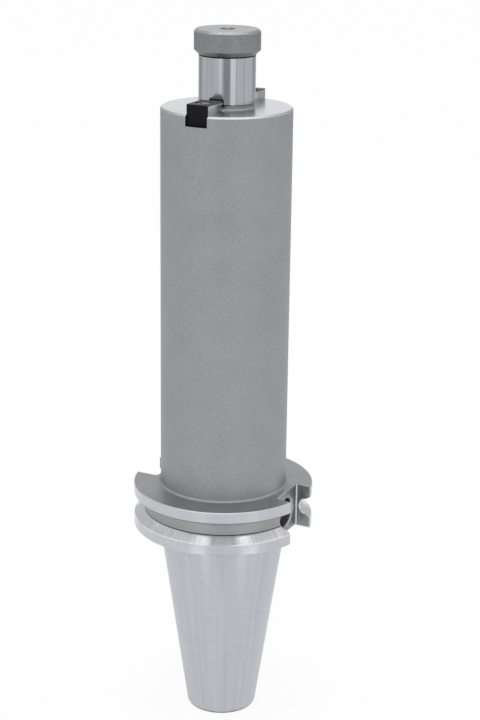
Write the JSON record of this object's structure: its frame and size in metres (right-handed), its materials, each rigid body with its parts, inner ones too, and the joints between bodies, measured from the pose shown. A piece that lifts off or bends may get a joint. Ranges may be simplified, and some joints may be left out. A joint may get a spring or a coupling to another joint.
{
  "type": "shell mill holder",
  "caption": "Shell mill holder with a 7/24 V-flange taper, a long straight nose, and a pilot with face drive keys and a lock screw that clamp a bored face mill.",
  "frame": {"origin": "on the spindle axis, in the plane of the taper's gauge line", "axes": "+Z along the spindle axis from the taper towards the pilot, +X out through the shallow drive slot, -Y out through the front drive key"},
  "size_m": [0.0612, 0.0634, 0.2464],
  "materials": {
    "ground_steel": "hardened steel, blasted matte grey nose and flange face, ground taper, pilot and flange rims",
    "screw_steel": "turned steel, matte grey side and lightly brushed top",
    "black_oxide": "black oxide with ground bright side faces",
    "small_screw_steel": "plain turned steel"
  },
  "bodies": {
    "root": {"holder_body": "ground_steel", "front_drive_key": "black_oxide", "rear_drive_key": "black_oxide", "front_key_screw": "small_screw_steel", "rear_key_screw": "small_screw_steel"},
    "lock_screw": {"lock_screw": "screw_steel"}
  },
  "joints": [
    {"name": "lock_screw_travel", "type": "slide", "parent": "root", "child": "lock_screw", "axis": [0, 0, 1], "range_m": [0, 0.05]}
  ]
}
